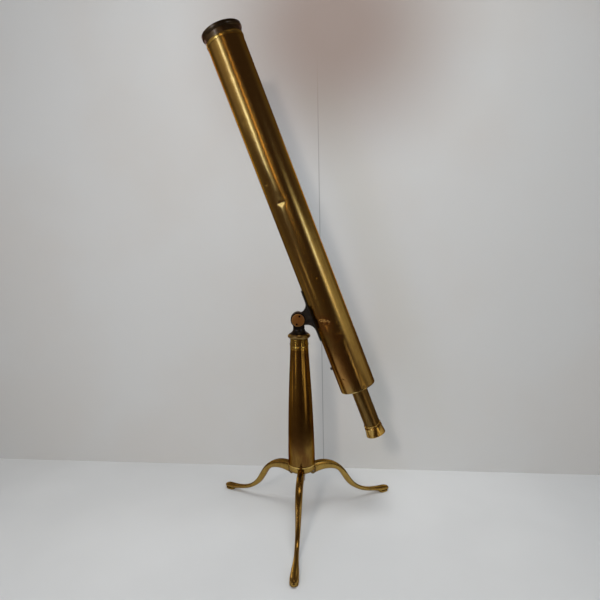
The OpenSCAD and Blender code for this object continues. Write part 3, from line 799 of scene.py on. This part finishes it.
# the reflections: windows with soft surroundings, a lamp, low strips for the pillar, and two from behind
REFLECTION_SPREAD = 80
for values in (
        ("window_left", at(-45, 2.3, 1.12), (0, 0, 0.95), 0.20, 1.15, 0.98, (0.52, 0.64, 1.0)),
        ("window_left_near", at(-45, 2.35, 1.2), (0, 0, 0.95), 0.9, 1.2, 0.42, (1.0, 0.97, 0.88)),
        ("window_left_wide", at(-47, 2.4, 1.25), (0, 0, 0.95), 1.9, 1.3, 0.40, (1.0, 0.94, 0.78)),
        ("window_left_far", at(-9, 2.4, 1.25), (0, 0, 0.95), 0.9, 1.3, 0.14, (1.0, 0.84, 0.62)),
        ("window_left_side", at(-78, 2.4, 1.3), (0, 0, 0.9), 2.0, 1.4, 0.50, (1.0, 0.88, 0.72)),
        ("lamp_strip", at(-17, 2.3, 1.25), (0, 0, 0.95), 0.07, 1.1, 0.30, (1.0, 0.60, 0.24)),
        ("window_right", at(47, 2.3, 1.21), (0, 0, 0.7), 0.20, 0.46, 0.28, (0.45, 0.60, 1.0)),
        ("window_right_near", at(48, 2.35, 1.15), (0, 0, 0.7), 0.9, 0.9, 0.26, (1.0, 0.98, 0.85)),
        ("window_right_wide", at(58, 2.5, 0.95), (0, 0, 0.7), 2.1, 1.2, 0.72, (1.0, 0.95, 0.80)),
        ("window_right_side", at(92, 2.3, 0.85), (0, 0, 0.7), 1.5, 1.3, 0.38, (1.0, 0.93, 0.78)),
        ("low_left", at(-85, 0.8, 0.13), (0, 0, 0.13), 0.09, 0.16, 0.007, (1.0, 0.72, 0.42)),
        ("low_right", at(50, 0.85, 0.13), (0, 0, 0.13), 0.26, 0.24, 0.035, (1.0, 0.84, 0.56)),
        ("collar_left", at(-46, 0.9, 0.24), (0, 0, 0.24), 0.06, 0.12, 0.014, (1.0, 0.85, 0.62)),
        ("collar_right", at(31, 0.9, 0.24), (0, 0, 0.24), 0.05, 0.12, 0.012, (1.0, 0.88, 0.66)),
        ("window_right_low", at(50, 2.3, 0.86), (0, 0, 0.7), 0.05, 0.30, 0.05, (1.0, 0.80, 0.72)),
        ("back_left", at(-138, 2.4, 1.15), (0, 0, 0.7), 0.45, 1.5, 0.9, (1.0, 0.93, 0.80)),
        ("back_right", at(150, 2.4, 1.1), (0, 0, 0.7), 0.6, 1.5, 0.9, (1.0, 0.96, 0.88))):
    panel(*values, REFLECTION_SPREAD)
panel("lamp_above", (0.05, -0.35, 2.3), (0.05, 0.05, 0), 0.5, 0.4, 0.3, (1.0, 0.82, 0.58), 75)
# the light that falls on the floor and the wall
for name, position, target, size, power, colour, spread in (
        ("key", at(-17, 1.9, 1.3), (0, 0.1, 0.5), (0.2, 0.2), 9.0, (1.0, 0.91, 0.79), 180),
        ("fill", (-0.25, -1.7, 1.3), (0.05, 0.2, 0.5), (2.6, 2.2), 11.0, (0.97, 0.97, 0.98), 180),
        ("ceiling", (0.1, -0.35, 2.3), (0.05, 0.05, 0), (1.0, 0.8), 4.0, (0.92, 0.97, 1.0), 75)):
    light = panel(name, position, target, size[0], size[1], power, colour, spread)
    light.visible_glossy = False


# ---- surroundings ----

world = bpy.data.worlds.new("room")
bpy.context.scene.world = world
world.use_nodes = True
tree = world.node_tree
background = tree.nodes["Background"]


def world_mix(factor, a, b):
    """A colour mix in the world's tree, where a and b may be colours or sockets."""
    n = tree.nodes.new("ShaderNodeMix")
    n.data_type = "RGBA"
    tree.links.new(factor, n.inputs[0])
    for k, value in ((6, a), (7, b)):
        if isinstance(value, tuple):
            n.inputs[k].default_value = value
        else:
            tree.links.new(value, n.inputs[k])
    return n.outputs[2]


def world_ramp(value, low, high):
    n = tree.nodes.new("ShaderNodeMapRange")
    n.inputs["From Min"].default_value = low
    n.inputs["From Max"].default_value = high
    tree.links.new(value, n.inputs["Value"])
    return n.outputs[0]


coords = tree.nodes.new("ShaderNodeTexCoord")
split = tree.nodes.new("ShaderNodeSeparateXYZ")
tree.links.new(coords.outputs["Generated"], split.inputs[0])
height = world_ramp(split.outputs[2], -0.2, 0.9)
shade = world_mix(height, rgb(0.045, 0.026, 0.016), rgb(0.062, 0.038, 0.030))
shade = world_mix(world_ramp(split.outputs[0], 0.0, -0.7), shade, rgb(0.105, 0.071, 0.048))
shade = world_mix(world_ramp(split.outputs[1], -0.1, 0.7), shade, rgb(0.22, 0.18, 0.14))
# metal mirrors that dim brown room, other surfaces are lit by an even pale one, and the backdrop is pale
path = tree.nodes.new("ShaderNodeLightPath")
shade = world_mix(path.outputs["Is Glossy Ray"], rgb(0.165, 0.185, 0.205), shade)
shade = world_mix(path.outputs["Is Camera Ray"], shade, rgb(0.42, 0.415, 0.40))
tree.links.new(shade, background.inputs[0])
background.inputs[1].default_value = 1.0


# ---- camera ----

PITCH, YAW, ROLL = math.radians(6.33), math.radians(0.255), -0.0214
forward = Vector((math.sin(YAW) * math.cos(PITCH), math.cos(YAW) * math.cos(PITCH), -math.sin(PITCH)))
right = Vector((math.cos(YAW), -math.sin(YAW), 0))
up = right.cross(forward)
image_right = right * math.cos(ROLL) + up * math.sin(ROLL)
image_up = -right * math.sin(ROLL) + up * math.cos(ROLL)
CAMERA_AT = (-0.0006, -0.977, 0.586)
lens = bpy.data.cameras.new("camera")
lens.lens = 28.0
lens.sensor_width = 36.0
lens.sensor_fit = "HORIZONTAL"
lens.clip_start = 0.01
camera = bpy.data.objects.new("camera", lens)
bpy.context.scene.collection.objects.link(camera)
camera.matrix_world = Matrix((
    (image_right.x, image_up.x, -forward.x, CAMERA_AT[0]),
    (image_right.y, image_up.y, -forward.y, CAMERA_AT[1]),
    (image_right.z, image_up.z, -forward.z, CAMERA_AT[2]),
    (0, 0, 0, 1)))
bpy.context.scene.camera = camera
bpy.context.scene.view_settings.view_transform = "Standard"
